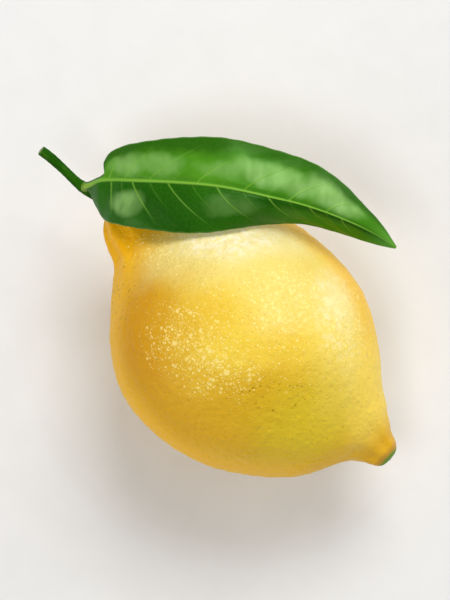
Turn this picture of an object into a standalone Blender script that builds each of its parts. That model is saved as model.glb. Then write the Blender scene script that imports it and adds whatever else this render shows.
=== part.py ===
"""A ripe lemon as picked, lying on its side, with a short cut stem and one leaf.

Lengths below are in millimetres and the model is in metres, +Z up. The origin is the centre of
the small flat spot that the fruit rests on. The fruit's long axis lies along X, with the nipple
towards +X and the stem towards -X. The leaf grows from the stem, arches over the fruit's
shoulder and points past it on the +Y side.
"""

import math

import bmesh
import bpy
import numpy as np

MM = 0.001

# Fruit: (station along the axis, radius about the centre line), from the stem end to the nipple
FRUIT_RADIUS = 29.8
REST_RADIUS = 7.0
FRUIT_OUTLINE = [
    (-43.4, 0.0),
    (-43.1, 2.9),
    (-41.9, 4.9),
    (-39.3, 6.9),
    (-36.6, 8.1),
    (-34.5, 8.6),
    (-33.2, 9.5),
    (-31.0, 11.8),
    (-27.2, 16.3),
    (-22.4, 21.8),
    (-13.0, 27.9),
    (0.0, FRUIT_RADIUS),
    (13.0, 27.7),
    (22.7, 22.3),
    (30.0, 16.2),
    (34.4, 11.3),
    (37.4, 7.3),
    (40.6, 4.8),
    (43.0, 3.7),
    (44.4, 2.2),
    (44.9, 0.0),
]
FRUIT_RINGS = 46
FRUIT_SIDES = 52
AXIS_HEIGHT = math.sqrt(FRUIT_RADIUS**2 - REST_RADIUS**2)
NECK_SHIFT = 2.1
NECK_BEND_FROM = -28.0
NECK_BEND_TO = -38.0
NIPPLE_SHIFT = 3.4
NIPPLE_BEND_FROM = 30.5
NIPPLE_BEND_TO = 39.0
NECK_FURROWS = 9
NECK_FURROW_DEPTH = 0.35
NIPPLE_FURROWS = 7
NIPPLE_FURROW_DEPTH = 0.2
LUMP_HEIGHT = 0.16

# Calyx: the five-lobed button between the fruit and the stem
CALYX_LOBES = 5
CALYX_HUB_RADIUS = 2.2
CALYX_LOBE_REACH = 1.4
CALYX_THICKNESS = 1.2
CALYX_GAP = 0.45

# Stem: (x, y, z, radius) from the calyx to the cut end
STEM_PATH = [
    (-45.5, 2.1, 29.2, 1.7),
    (-47.2, 1.8, 29.5, 1.25),
    (-50.2, 1.1, 30.2, 1.2),
    (-51.8, 1.0, 30.5, 1.35),
    (-53.8, 0.8, 30.9, 1.15),
    (-58.5, 0.9, 31.9, 1.1),
    (-62.5, 0.8, 32.9, 1.15),
    (-65.0, 0.5, 33.6, 1.2),
]
STEM_RINGS = 22

# Leaf: the midrib's top line (x, y, z), from the leaf's foot on the stem to its tip
MIDRIB = [
    (-51.8, 1.1, 32.9),
    (-50.8, 2.8, 35.1),
    (-49.8, 4.8, 37.9),
    (-48.0, 6.7, 40.0),
    (-44.2, 9.9, 43.8),
    (-36.6, 16.2, 49.0),
    (-28.0, 22.7, 52.3),
    (-18.0, 28.7, 53.0),
    (-10.8, 32.8, 51.3),
    (-3.0, 36.3, 47.9),
    (5.0, 39.1, 43.2),
    (11.5, 40.5, 38.8),
]
# (share of the midrib, half-width seen from above, drop of the margin below the midrib)
OUTER_HALF = [
    (0.0, 0.9, 0.0),
    (0.05, 0.9, 0.0),
    (0.08, 1.2, 0.0),
    (0.095, 4.0, 0.1),
    (0.12, 6.6, 0.3),
    (0.17, 8.3, 0.6),
    (0.25, 9.5, 1.0),
    (0.35, 10.7, 1.5),
    (0.45, 11.3, 1.9),
    (0.55, 11.1, 2.2),
    (0.65, 10.4, 2.4),
    (0.75, 8.4, 2.2),
    (0.85, 5.0, 1.6),
    (0.92, 2.9, 0.9),
    (0.97, 1.3, 0.4),
    (1.0, 0.3, 0.0),
]
INNER_HALF = [
    (0.0, 0.9, 0.0),
    (0.012, 1.8, 0.0),
    (0.025, 5.4, 0.1),
    (0.045, 8.5, 0.3),
    (0.08, 9.8, 0.5),
    (0.15, 10.5, 1.0),
    (0.25, 11.3, 1.9),
    (0.35, 11.6, 2.7),
    (0.42, 11.1, 3.0),
    (0.5, 9.3, 4.2),
    (0.6, 6.2, 6.8),
    (0.7, 4.1, 7.4),
    (0.8, 3.3, 6.0),
    (0.9, 2.5, 3.4),
    (0.96, 1.4, 1.2),
    (1.0, 0.3, 0.0),
]
LEAF_STATIONS = 84
LEAF_CELLS = 5
LEAF_CROWDING = 1.6
LEAF_SAMPLES = 400
BEND_REACH = 40
BLADE_THICKNESS = 0.7
RIB_THICKNESS_AT_FOOT = 2.0
RIB_THICKNESS_AT_TIP = 0.8
RIB_HALF_WIDTH = 1.1
BLADE_ARCH = 0.9
ARCHED_FROM_WIDTH = 8.0
MARGIN_WAVES = 4.5
MARGIN_WAVE_HEIGHT = 0.45
MARGIN_TEETH = 20
MARGIN_TOOTH_DEPTH = 0.2


def smooth_step(start, end, value):
    share = min(max((value - start) / (end - start), 0.0), 1.0)
    return share * share * (3.0 - 2.0 * share)


def curve_through(knots, shares):
    """Points of a smooth curve through the knots, at shares of it from 0 to 1."""
    points = np.array(knots, float)
    steps = np.sqrt(np.linalg.norm(np.diff(points, axis=0), axis=1))
    times = np.concatenate([[0.0], np.cumsum(steps)])
    slopes = np.gradient(points, times, axis=0)
    at = np.asarray(shares, float) * times[-1]
    left = np.clip(np.searchsorted(times, at, side="right") - 1, 0, len(points) - 2)
    span = steps[left]
    t = ((at - times[left]) / span)[:, None]
    span = span[:, None]
    return (
        points[left] * (1 + 2 * t) * (1 - t) ** 2
        + slopes[left] * span * t * (1 - t) ** 2
        + points[left + 1] * t**2 * (3 - 2 * t)
        + slopes[left + 1] * span * t**2 * (t - 1)
    )


def evenly_spaced(points, count):
    """The same line with count points at equal lengths along it."""
    run = np.linalg.norm(np.diff(points, axis=0), axis=1).cumsum()
    run = np.concatenate([[0.0], run])
    wanted = np.linspace(0.0, run[-1], count)
    return np.column_stack([np.interp(wanted, run, column) for column in points.T])


def clear_scene():
    for obj in list(bpy.data.objects):
        bpy.data.objects.remove(obj, do_unlink=True)


def make_material(name, colour, roughness):
    material = bpy.data.materials.new(name)
    material.use_nodes = True
    shader = material.node_tree.nodes["Principled BSDF"]
    shader.inputs["Base Color"].default_value = (*colour, 1.0)
    shader.inputs["Roughness"].default_value = roughness
    shader.inputs["Metallic"].default_value = 0.0
    return material


def add_object(name, data, material, collection):
    data.materials.append(material)
    obj = bpy.data.objects.new(name, data)
    collection.objects.link(obj)
    return obj


def mesh_from(name, shape):
    mesh = bpy.data.meshes.new(name)
    shape.to_mesh(mesh)
    shape.free()
    mesh.shade_smooth()
    return mesh


def fruit_centre(station):
    """How far the fruit's centre line stands aside at a station along the axis."""
    neck = NECK_SHIFT * smooth_step(NECK_BEND_FROM, NECK_BEND_TO, station)
    nipple = NIPPLE_SHIFT * smooth_step(NIPPLE_BEND_FROM, NIPPLE_BEND_TO, station)
    return neck + nipple


def fruit_relief(station, angle):
    """Furrows that run out from both ends, and low lumps over the rest."""
    neck = smooth_step(-22.0, -36.0, station) * smooth_step(-43.4, -41.0, station)
    nipple = smooth_step(28.0, 37.0, station) * smooth_step(45.0, 42.0, station)
    furrows = NECK_FURROW_DEPTH * neck * math.cos(NECK_FURROWS * angle + 0.4 * math.sin(2 * angle))
    furrows += NIPPLE_FURROW_DEPTH * nipple * math.cos(NIPPLE_FURROWS * angle + 1.0)
    lumps = math.sin(3 * angle + station / 9.0) + math.sin(5 * angle - station / 6.0 + 2.0)
    return furrows + LUMP_HEIGHT * lumps * (1.0 - neck) * (1.0 - nipple)


def make_fruit(collection):
    """A sphere drawn out to the outline, then cut flat where it rests."""
    rings = curve_through(FRUIT_OUTLINE, np.linspace(0.0, 1.0, FRUIT_RINGS + 1))
    shape = bmesh.new()
    bmesh.ops.create_uvsphere(shape, u_segments=FRUIT_SIDES, v_segments=FRUIT_RINGS, radius=1.0)
    for vert in shape.verts:
        polar = math.acos(min(max(vert.co.z, -1.0), 1.0))
        angle = math.atan2(vert.co.y, vert.co.x)
        station, radius = rings[round((1.0 - polar / math.pi) * FRUIT_RINGS)]
        if radius > 0.0:
            radius += fruit_relief(station, angle)
        side = fruit_centre(station) + radius * math.sin(angle)
        height = AXIS_HEIGHT + radius * math.cos(angle)
        vert.co = (station * MM, side * MM, height * MM)
    cut = bmesh.ops.bisect_plane(
        shape,
        geom=shape.verts[:] + shape.edges[:] + shape.faces[:],
        plane_co=(0.0, 0.0, 0.0),
        plane_no=(0.0, 0.0, -1.0),
        clear_outer=True,
    )
    rim = [item for item in cut["geom_cut"] if isinstance(item, bmesh.types.BMEdge)]
    bmesh.ops.edgeloop_fill(shape, edges=rim)
    bmesh.ops.recalc_face_normals(shape, faces=shape.faces[:])
    mesh = mesh_from("fruit", shape)
    mesh.set_sharp_from_angle(angle=math.radians(50.0))
    rind = make_material("lemon_rind", (0.80, 0.52, 0.045), 0.38)
    return add_object("fruit", mesh, rind, collection)


def make_calyx(collection):
    """A flat bud of five lobes, pressed over the end of the neck."""
    ends = curve_through(FRUIT_OUTLINE, np.linspace(0.0, 0.3, 60))
    neck_end = ends[0][0]
    shape = bmesh.new()
    bmesh.ops.create_uvsphere(shape, u_segments=40, v_segments=12, radius=1.0)
    for vert in shape.verts:
        angle = math.atan2(vert.co.y, vert.co.x)
        lobe = 0.5 + 0.5 * math.cos(CALYX_LOBES * angle)
        reach = CALYX_HUB_RADIUS + CALYX_LOBE_REACH * lobe**0.8
        share = math.hypot(vert.co.x, vert.co.y)
        radius = reach * share
        under = np.interp(radius, ends[:, 1], ends[:, 0]) - CALYX_GAP
        crown = CALYX_THICKNESS * math.sqrt(max(1.0 - share**2, 0.0))
        station = under - crown if vert.co.z > 0.0 else under
        side = fruit_centre(neck_end) + radius * math.sin(angle)
        height = AXIS_HEIGHT + radius * math.cos(angle)
        vert.co = (station * MM, side * MM, height * MM)
    green = make_material("calyx_green", (0.10, 0.22, 0.03), 0.6)
    return add_object("calyx", mesh_from("calyx", shape), green, collection)


def make_stem(collection):
    """A round stalk along a smooth path, thicker at both ends and where the leaf grows."""
    curve = bpy.data.curves.new("stem", "CURVE")
    curve.dimensions = "3D"
    curve.bevel_depth = MM
    curve.bevel_resolution = 4
    curve.use_fill_caps = True
    line = curve.splines.new("POLY")
    stations = curve_through(STEM_PATH, np.linspace(0.0, 1.0, STEM_RINGS))
    line.points.add(len(stations) - 1)
    for point, (x, y, z, radius) in zip(line.points, stations):
        point.co = (x * MM, y * MM, z * MM, 1.0)
        point.radius = radius
    bark = make_material("stem_bark", (0.04, 0.13, 0.015), 0.55)
    return add_object("stem", curve, bark, collection)


def softened(directions):
    """Unit directions averaged with their neighbours, so that the margin doesn't fold where the midrib bends."""
    padded = np.pad(directions, ((BEND_REACH, BEND_REACH), (0, 0)), mode="edge")
    weights = np.hanning(2 * BEND_REACH + 3)[1:-1]
    soft = np.column_stack([np.convolve(column, weights, "valid") for column in padded.T])
    return soft / np.linalg.norm(soft, axis=1)[:, None]


def leaf_margin(half, side, midrib, outward):
    """The margin on one side of the leaf, as evenly spaced points."""
    dense = curve_through(half, np.linspace(0.0, 1.0, LEAF_SAMPLES))
    shares = np.linspace(0.0, 1.0, LEAF_SAMPLES)
    widths = np.interp(shares, dense[:, 0], dense[:, 1])
    drops = np.interp(shares, dense[:, 0], dense[:, 2])
    line = midrib + outward * (side * widths)[:, None]
    line[:, 2] -= drops
    return evenly_spaced(line, LEAF_STATIONS + 1)


def blade_point(rib, edge, across, share, side):
    """A point of the blade's top face between the rib and the margin, arched and waved."""
    width = float(np.linalg.norm(edge - rib))
    fade = math.sin(math.pi * share) ** 0.5
    tooth = MARGIN_TOOTH_DEPTH * fade * math.cos(math.tau * MARGIN_TEETH * share) / width
    wave = MARGIN_WAVE_HEIGHT * fade * math.sin(math.tau * MARGIN_WAVES * share + side)
    arch = BLADE_ARCH * min(width / ARCHED_FROM_WIDTH, 1.0) * math.sin(math.pi * across**0.7)
    place = rib + (edge - rib) * (across + tooth * across**4)
    place[2] += arch + wave * across**2
    return place


def blade_thickness(distance, share):
    """Thin blade, with the rib's ridge below it, which shrinks from the foot to the tip."""
    rib = RIB_THICKNESS_AT_FOOT + (RIB_THICKNESS_AT_TIP - RIB_THICKNESS_AT_FOOT) * share**0.5
    return BLADE_THICKNESS + (rib - BLADE_THICKNESS) * math.exp(-((distance / RIB_HALF_WIDTH) ** 2))


def make_leaf(collection):
    """An arched blade between the midrib and two margins, thick along the rib and at its foot."""
    midrib = evenly_spaced(curve_through(MIDRIB, np.linspace(0.0, 1.0, LEAF_SAMPLES)), LEAF_SAMPLES)
    ahead = np.gradient(midrib, axis=0)
    outward = softened(np.column_stack([-ahead[:, 1], ahead[:, 0], np.zeros(LEAF_SAMPLES)]))
    outer = leaf_margin(OUTER_HALF, 1, midrib, outward)
    inner = leaf_margin(INNER_HALF, -1, midrib, outward)
    rib = evenly_spaced(midrib, LEAF_STATIONS + 1)
    shape = bmesh.new()
    bmesh.ops.create_grid(shape, x_segments=LEAF_STATIONS, y_segments=2 * LEAF_CELLS, size=1.0)
    weights = []
    for vert in shape.verts:
        row = round((vert.co.x + 1.0) / 2.0 * LEAF_STATIONS)
        side = 1 if vert.co.y >= 0.0 else -1
        across = abs(vert.co.y) ** LEAF_CROWDING
        edge = outer[row] if side > 0 else inner[row]
        share = row / LEAF_STATIONS
        distance = across * float(np.linalg.norm(edge - rib[row]))
        weights.append(blade_thickness(distance, share) / RIB_THICKNESS_AT_FOOT)
        vert.co = blade_point(rib[row], edge, across, share, side) * MM
    bmesh.ops.triangulate(shape, faces=shape.faces[:])
    green = make_material("leaf_green", (0.07, 0.25, 0.02), 0.3)
    leaf = add_object("leaf", mesh_from("leaf", shape), green, collection)
    group = leaf.vertex_groups.new(name="thickness")
    for index, weight in enumerate(weights):
        group.add([index], weight, "REPLACE")
    blade = leaf.modifiers.new("blade", "SOLIDIFY")
    blade.thickness = RIB_THICKNESS_AT_FOOT * MM
    blade.offset = -1.0
    blade.vertex_group = group.name
    return leaf


def main():
    clear_scene()
    lemon = bpy.data.collections.new("lemon")
    bpy.context.scene.collection.children.link(lemon)
    make_fruit(lemon)
    make_calyx(lemon)
    make_stem(lemon)
    make_leaf(lemon)


main()
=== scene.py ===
"""The looks of a ripe lemon as picked, lying on its side, with a short cut stem and one leaf.

Lengths are in millimetres up to the point where a mesh is made, which is in metres. The fruit's
long axis lies along X, with the nipple towards +X, and the leaf arches over the +Y shoulder.
"""

import math

import bmesh
import bpy
import numpy as np
from mathutils import Matrix, Vector
from mathutils.kdtree import KDTree


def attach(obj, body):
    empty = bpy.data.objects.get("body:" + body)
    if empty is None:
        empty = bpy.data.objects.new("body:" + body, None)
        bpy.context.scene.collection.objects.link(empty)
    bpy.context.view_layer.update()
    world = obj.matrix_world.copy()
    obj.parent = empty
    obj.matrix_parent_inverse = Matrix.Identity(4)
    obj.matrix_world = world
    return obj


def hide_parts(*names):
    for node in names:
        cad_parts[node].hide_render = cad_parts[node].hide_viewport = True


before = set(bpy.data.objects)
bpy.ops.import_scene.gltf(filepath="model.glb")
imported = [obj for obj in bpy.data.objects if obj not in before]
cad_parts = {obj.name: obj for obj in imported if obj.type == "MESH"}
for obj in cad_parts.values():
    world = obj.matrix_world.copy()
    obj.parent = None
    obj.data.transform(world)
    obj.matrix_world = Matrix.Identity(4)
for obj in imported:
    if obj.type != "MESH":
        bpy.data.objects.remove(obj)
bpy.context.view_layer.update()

MM = 0.001
SEED = 20

# Fruit: (station along the axis, radius about the centre line), from the stem end to the nipple
FRUIT_RADIUS = 29.8
REST_RADIUS = 7.0
FRUIT_OUTLINE = [
    (-43.4, 0.0),
    (-43.1, 2.9),
    (-41.9, 4.9),
    (-39.3, 6.9),
    (-36.6, 8.1),
    (-34.5, 8.6),
    (-33.2, 9.5),
    (-31.0, 11.8),
    (-27.2, 16.3),
    (-22.4, 21.8),
    (-13.0, 27.9),
    (0.0, FRUIT_RADIUS),
    (13.0, 27.7),
    (22.7, 22.3),
    (30.0, 16.2),
    (34.4, 11.3),
    (37.4, 7.3),
    (40.6, 4.8),
    (43.0, 3.7),
    (44.4, 2.2),
    (44.9, 0.0),
]
AXIS_HEIGHT = math.sqrt(FRUIT_RADIUS**2 - REST_RADIUS**2)
NECK_SHIFT, NECK_BEND_FROM, NECK_BEND_TO = 2.1, -28.0, -38.0
NIPPLE_SHIFT, NIPPLE_BEND_FROM, NIPPLE_BEND_TO = 3.4, 30.5, 39.0
NECK_FURROWS, NECK_FURROW_DEPTH = 9, 0.35
NIPPLE_FURROWS, NIPPLE_FURROW_DEPTH = 7, 0.2
LUMP_HEIGHT = 0.16
FRUIT_CELLS = 124
PORE_SPACING = 1.5
PORE_DEPTH = 0.2
PEBBLE_SPACING = 3.4
PEBBLE_HEIGHT = 0.16
PORE_STRENGTHS, PORE_RADIUS_SHARES, PORE_SCATTER = (0.25, 1.0), (0.2, 0.36), 0.55
FRUIT_AREA = 13500.0
OUTLINE_SAMPLES, OUTLINE_POINTS = 1200, 600
SMOOTH_TIP_FROM, FULL_RELIEF_RADIUS = 43.0, 1.5

# Stations where the furrows start, are full from, are full to, and end
NECK_FURROW_FADES = (-22.0, -36.0, -41.0, -43.4)
NIPPLE_FURROW_FADES = (28.0, 37.0, 42.0, 45.0)

# Low lumps: (waves around the fruit, length along it, phase)
LUMP_WAVES = [(3, 9.0, 0.0), (5, -6.0, 2.0)]

# Calyx
CALYX_LOBES, CALYX_HUB_RADIUS, CALYX_LOBE_REACH = 5, 2.2, 1.4
CALYX_THICKNESS, CALYX_GAP, GAP_SHARE_LEFT = 1.2, 0.45, 0.6
CALYX_RINGS, CALYX_SIDES = 36, 150
RAGGED_DEPTH, CREASE_DEPTH, GRAIN_DEPTH = 0.12, 0.16, 0.03
NECK_END_SHARE, NECK_END_SAMPLES = 0.3, 60

# Stem: (x, y, z, radius) from the calyx to the cut end
STEM_PATH = [
    (-45.5, 2.1, 29.2, 1.7),
    (-47.2, 1.8, 29.5, 1.25),
    (-50.2, 1.1, 30.2, 1.2),
    (-51.8, 1.0, 30.5, 1.35),
    (-53.8, 0.8, 30.9, 1.15),
    (-58.5, 0.9, 31.9, 1.1),
    (-62.5, 0.8, 32.9, 1.15),
    (-65.0, 0.5, 33.6, 1.2),
]
LEAF_NODE = 3
STEM_SAMPLES, STEM_RINGS, STEM_SIDES = 900, 260, 56
KNOT_HEIGHT = 0.03
RIM_FROM, RIM_ROUNDING = 0.985, 0.14

# Ridges along the stem: (how many around it, twist, height as a share of the radius)
STEM_RIDGES = [(7, 5.0, 0.035), (17, -3.0, 0.02)]

# Rings of the cut face: (share of the stem's radius, how far it lies inside the end)
CUT_RINGS = [(0.8, 0.05), (0.55, -0.02), (0.3, 0.04), (0.12, 0.12)]
CUT_MIDDLE_DEPTH = 0.14

# Leaf: the midrib's top line, then (share of the midrib, half-width from above, drop of the margin)
MIDRIB = [
    (-51.8, 1.1, 32.9),
    (-50.8, 2.8, 35.1),
    (-49.8, 4.8, 37.9),
    (-48.0, 6.7, 40.0),
    (-44.2, 9.9, 43.8),
    (-36.6, 16.2, 49.0),
    (-28.0, 22.7, 52.3),
    (-18.0, 28.7, 53.0),
    (-10.8, 32.8, 51.3),
    (-3.0, 36.3, 47.9),
    (5.0, 39.1, 43.2),
    (11.5, 40.5, 38.8),
]
OUTER_HALF = [
    (0.0, 0.9, 0.0),
    (0.05, 0.9, 0.0),
    (0.08, 1.2, 0.0),
    (0.095, 4.0, 0.1),
    (0.12, 6.6, 0.3),
    (0.17, 8.3, 0.6),
    (0.25, 9.5, 1.0),
    (0.35, 10.7, 1.5),
    (0.45, 11.3, 1.9),
    (0.55, 11.1, 2.2),
    (0.65, 10.4, 2.4),
    (0.75, 8.4, 2.2),
    (0.85, 5.0, 1.6),
    (0.92, 2.9, 0.9),
    (0.97, 1.3, 0.4),
    (1.0, 0.3, 0.0),
]
INNER_HALF = [
    (0.0, 0.9, 0.0),
    (0.012, 1.8, 0.0),
    (0.025, 5.4, 0.1),
    (0.045, 8.5, 0.3),
    (0.08, 9.8, 0.5),
    (0.15, 10.5, 1.0),
    (0.25, 11.3, 1.9),
    (0.35, 11.6, 2.7),
    (0.42, 11.1, 3.0),
    (0.5, 9.3, 4.2),
    (0.6, 6.2, 6.8),
    (0.7, 4.1, 7.4),
    (0.8, 3.3, 6.0),
    (0.9, 2.5, 3.4),
    (0.96, 1.4, 1.2),
    (1.0, 0.3, 0.0),
]
LEAF_SAMPLES = 400
BEND_REACH = 40
BLADE_THICKNESS, UNDER_RIB_HALF_WIDTH = 0.5, 0.9
UNDER_RIB_AT_FOOT, UNDER_RIB_AT_TIP = 2.0, 0.7
BLADE_ARCH, ARCHED_FROM_WIDTH = 0.9, 8.0
MARGIN_WAVES, MARGIN_WAVE_HEIGHT = 4.5, 0.45
MARGIN_TEETH, MARGIN_TOOTH_DEPTH = 20, 0.05
QUILT_HEIGHT, QUILT_WIDTHS = 0.22, (2.0, 8.0)

# Side veins: (share of the midrib where one leaves it, share that it gains on its way to the margin)
OUTER_VEINS = [
    (0.105, 0.09),
    (0.163, 0.13),
    (0.243, 0.2),
    (0.385, 0.19),
    (0.515, 0.17),
    (0.64, 0.15),
    (0.75, 0.12),
]
INNER_VEINS = [
    (0.118, 0.03),
    (0.19, 0.13),
    (0.30, 0.19),
    (0.44, 0.18),
    (0.583, 0.16),
    (0.70, 0.15),
    (0.8, 0.1),
]
VEIN_BEND = 1.25
VEIN_HALF_WIDTH, VEIN_HEIGHT = 0.14, 0.09
VEIN_REACH, FINE_VEIN_REACH, FINE_VEIN_SHARE = 0.97, 0.7, 0.25
VEIN_SLANT, VEIN_WIDTH_AT_RIB, VEIN_WIDTH_LOST = 0.75, 1.25, 0.7
SIDE_VEIN_PALENESS, UNDER_VEIN_SHARE = 0.62, 0.7
VEIN_ROWS = (-0.42, -0.24, -0.12, 0.0, 0.12, 0.24, 0.42)
RIB_HALF_WIDTH_AT_FOOT, RIB_HALF_WIDTH_AT_TIP = 0.52, 0.14
RIB_HEIGHT = 0.26
RIB_SHARE = 0.12
RIB_COLUMNS = (0.0, 0.35, 0.7, 1.0, 1.4, 1.9)
RIB_COLUMNS_LIMIT, COLUMN_SPREAD, BLADE_COLUMNS = 0.6, 1.15, 24
MIDRIB_LENGTH = 86.0
FOOT_ROW_GAP, ROW_GAP, LEAST_ROW_GAP, FOOT_SHARE = 0.002, 0.0045, 0.0006, 0.12
MARGIN_THICKNESS_SHARE, MARGIN_THINS_FROM = 0.45, 0.95

# The leaf's rounded stalk: half-widths and shares where the rounding starts and where it is full
STALK_WIDTHS, STALK_SHARES = (3.0, 1.2), (0.5, 0.3)
STALK_CURL, STALK_TOP_DROP, STALK_UNDER_RISE = 0.96, 0.8, 1.4

# Swollen base of the stalk, and its radius from the stem to the leaf: (share, times the radius)
CUSHION_RADIUS, CUSHION_INTO_LEAF, CUSHION_AIM_POINT = 1.05, 1.6, 12
CUSHION_RINGS, CUSHION_SIDES = 40, 40
CUSHION_RIDGES, CUSHION_RIDGE_HEIGHT = 6, 0.03
CUSHION_SWELL = [(0.0, 1.15), (0.35, 1.1), (0.7, 0.95), (1.0, 0.6)]

# Painted highlights on the leaf, pale patches where its gloss catches the light: ((share along, place
# across), reach the same way, strength)
LEAF_HIGHLIGHT_PATCHES = [
    ((0.19, 0.46), (0.06, 0.24), 0.58),
    ((0.29, 0.42), (0.055, 0.22), 0.5),
    ((0.47, 0.36), (0.08, 0.18), 0.4),
    ((0.60, 0.40), (0.12, 0.24), 0.72),
    ((0.76, 0.45), (0.09, 0.3), 0.85),
    ((0.185, -0.5), (0.05, 0.26), 0.64),
    ((0.5, -0.4), (0.07, 0.22), 0.22),
]

# Camera: straight above, turned so that the fruit's axis runs down to the right
VIEW_TURN = math.radians(43.0)
VIEW_CENTRE = (-9.4, 4.3)
VIEW_HEIGHT = 950.0
VIEW_SPAN = 141.7
SENSOR = 36.0

# Stage
FLOOR_HALF = 900.0
FLOOR_SHADES = [(0.3, (0.79, 0.805, 0.83)), (0.7, (0.81, 0.825, 0.85))]
SKY_COLOUR, SKY_STRENGTH = (1.0, 0.975, 0.94, 1.0), 0.36

# Lights: (name, place to the picture's right, to its up, height, size, power, colour)
LIGHTS = [
    ("key", 200.0, 640.0, 900.0, (600.0, 480.0), 7.4, (1.0, 0.98, 0.94)),
    ("right_side", 850.0, 480.0, 330.0, (300.0, 500.0), 1.8, (1.0, 0.98, 0.95)),
    ("left_low", -800.0, -620.0, 260.0, (500.0, 300.0), 2.6, (1.0, 0.96, 0.88)),
    ("overhead", -160.0, -120.0, 1000.0, (260.0, 260.0), 2.0, (1.0, 0.98, 0.95)),
]


def unit(vectors):
    return vectors / np.linalg.norm(vectors, axis=-1, keepdims=True)


def smooth_step(start, end, value):
    share = np.clip((np.asarray(value, float) - start) / (end - start), 0.0, 1.0)
    return share * share * (3.0 - 2.0 * share)


def curve_through(knots, shares):
    """Points of a smooth curve through the knots, at shares of it from 0 to 1."""
    points = np.array(knots, float)
    steps = np.sqrt(np.linalg.norm(np.diff(points, axis=0), axis=1))
    marks = np.concatenate([[0.0], np.cumsum(steps)])
    slopes = np.gradient(points, marks, axis=0)
    at = np.asarray(shares, float) * marks[-1]
    left = np.clip(np.searchsorted(marks, at, side="right") - 1, 0, len(points) - 2)
    span = steps[left]
    t = ((at - marks[left]) / span)[:, None]
    span = span[:, None]
    return (
        points[left] * (1 + 2 * t) * (1 - t) ** 2
        + slopes[left] * span * t * (1 - t) ** 2
        + points[left + 1] * t**2 * (3 - 2 * t)
        + slopes[left + 1] * span * t**2 * (t - 1)
    )


def evenly_spaced(points, count):
    """The same line with count points at equal lengths along it."""
    run = np.linalg.norm(np.diff(points, axis=0), axis=1).cumsum()
    run = np.concatenate([[0.0], run])
    wanted = np.linspace(0.0, run[-1], count)
    return np.column_stack([np.interp(wanted, run, column) for column in points.T])


def tube(line, radius, angle, level):
    """Rings of points round a line, each starting square to level, and the line's directions."""
    ahead = unit(np.gradient(line, axis=0))
    aside = unit(np.cross(ahead, np.array(level)))
    upward = np.cross(aside, ahead)
    rings = line[:, None, :] + aside[:, None, :] * (radius * np.cos(angle))[..., None]
    return rings + upward[:, None, :] * (radius * np.sin(angle))[..., None], ahead


def new_object(name, points, faces):
    """A smooth mesh object from points in millimetres."""
    mesh = bpy.data.meshes.new(name)
    mesh.from_pydata((np.asarray(points) * MM).tolist(), [], [list(face) for face in faces])
    mesh.shade_smooth()
    mesh.update()
    obj = bpy.data.objects.new(name, mesh)
    bpy.context.scene.collection.objects.link(obj)
    return obj


def normals_of(points, faces):
    """Unit normals of the points of a mesh of quads."""
    quads = np.asarray(faces)
    across = points[quads[:, 2]] - points[quads[:, 0]]
    along = points[quads[:, 3]] - points[quads[:, 1]]
    flat = np.cross(across, along)
    total = np.zeros_like(points)
    for corner in range(4):
        np.add.at(total, quads[:, corner], flat)
    return total / np.maximum(np.linalg.norm(total, axis=1), 1e-12)[:, None]


# Node helpers


def new_material(name):
    """A material with its node tree, its shader and the object coordinates."""
    material = bpy.data.materials.new(name)
    material.use_nodes = True
    tree = material.node_tree
    place = tree.nodes.new("ShaderNodeTexCoord").outputs["Object"]
    return material, tree, tree.nodes["Principled BSDF"], place


def set_inputs(tree, node, values):
    """Gives each input its plain value, or a link where the value is another node's output."""
    for key, value in values.items():
        if isinstance(value, bpy.types.NodeSocket):
            tree.links.new(value, node.inputs[key])
        else:
            node.inputs[key].default_value = value


def new_node(tree, kind, values):
    node = tree.nodes.new(kind)
    set_inputs(tree, node, values)
    return node


def noise(tree, vector, scale, detail=3.0, roughness=0.5):
    values = {"Vector": vector, "Scale": scale, "Detail": detail, "Roughness": roughness}
    return new_node(tree, "ShaderNodeTexNoise", values).outputs["Fac"]


def ramp(tree, factor, stops):
    """A colour ramp: stops are (position, colour)."""
    node = new_node(tree, "ShaderNodeValToRGB", {"Fac": factor})
    while len(node.color_ramp.elements) < len(stops):
        node.color_ramp.elements.new(1.0)
    for element, (position, colour) in zip(node.color_ramp.elements, stops):
        element.position = position
        element.color = (*colour, 1.0)
    return node.outputs["Color"]


def mix(tree, factor, first, second):
    """The first colour with the second mixed in by the factor."""
    node = tree.nodes.new("ShaderNodeMix")
    node.data_type = "RGBA"
    first, second = ((*value, 1.0) if isinstance(value, tuple) else value for value in (first, second))
    set_inputs(tree, node, {0: factor, 6: first, 7: second})
    return node.outputs[2]


def math_node(tree, operation, first, second=0.0):
    node = tree.nodes.new("ShaderNodeMath")
    node.operation = operation
    set_inputs(tree, node, {0: first, 1: second})
    return node.outputs[0]


def times(tree, first, second):
    return math_node(tree, "MULTIPLY", first, second)


def tint(tree, amount, colour, shade, strength):
    """The colour with a shade mixed in, at the given strength where the amount is 1."""
    return mix(tree, times(tree, amount, strength), colour, shade)


def map_range(tree, value, low, high, to_low=0.0, to_high=1.0):
    node = tree.nodes.new("ShaderNodeMapRange")
    node.interpolation_type = "SMOOTHSTEP"
    values = {"Value": value, "From Min": low, "From Max": high, "To Min": to_low, "To Max": to_high}
    set_inputs(tree, node, values)
    return node.outputs["Result"]


def bump(tree, height, distance, strength, normal=None):
    node = new_node(tree, "ShaderNodeBump", {"Height": height, "Distance": distance, "Strength": strength})
    if normal is not None:
        tree.links.new(normal, node.inputs["Normal"])
    return node.outputs["Normal"]


def banded(tree, value, colour, band, scale=1.0):
    """The colour with a band's own colour mixed in from where the band starts to where it is full."""
    start, full, shade, strength = band
    amount = map_range(tree, value, start * scale, full * scale)
    return tint(tree, amount, colour, shade, strength)


def grained(tree, shader, pattern, shades, distance, strength):
    """Colour and bumps that follow one pattern."""
    normal = bump(tree, pattern, distance, strength)
    set_inputs(tree, shader, {"Base Color": ramp(tree, pattern, shades), "Normal": normal})


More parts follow.
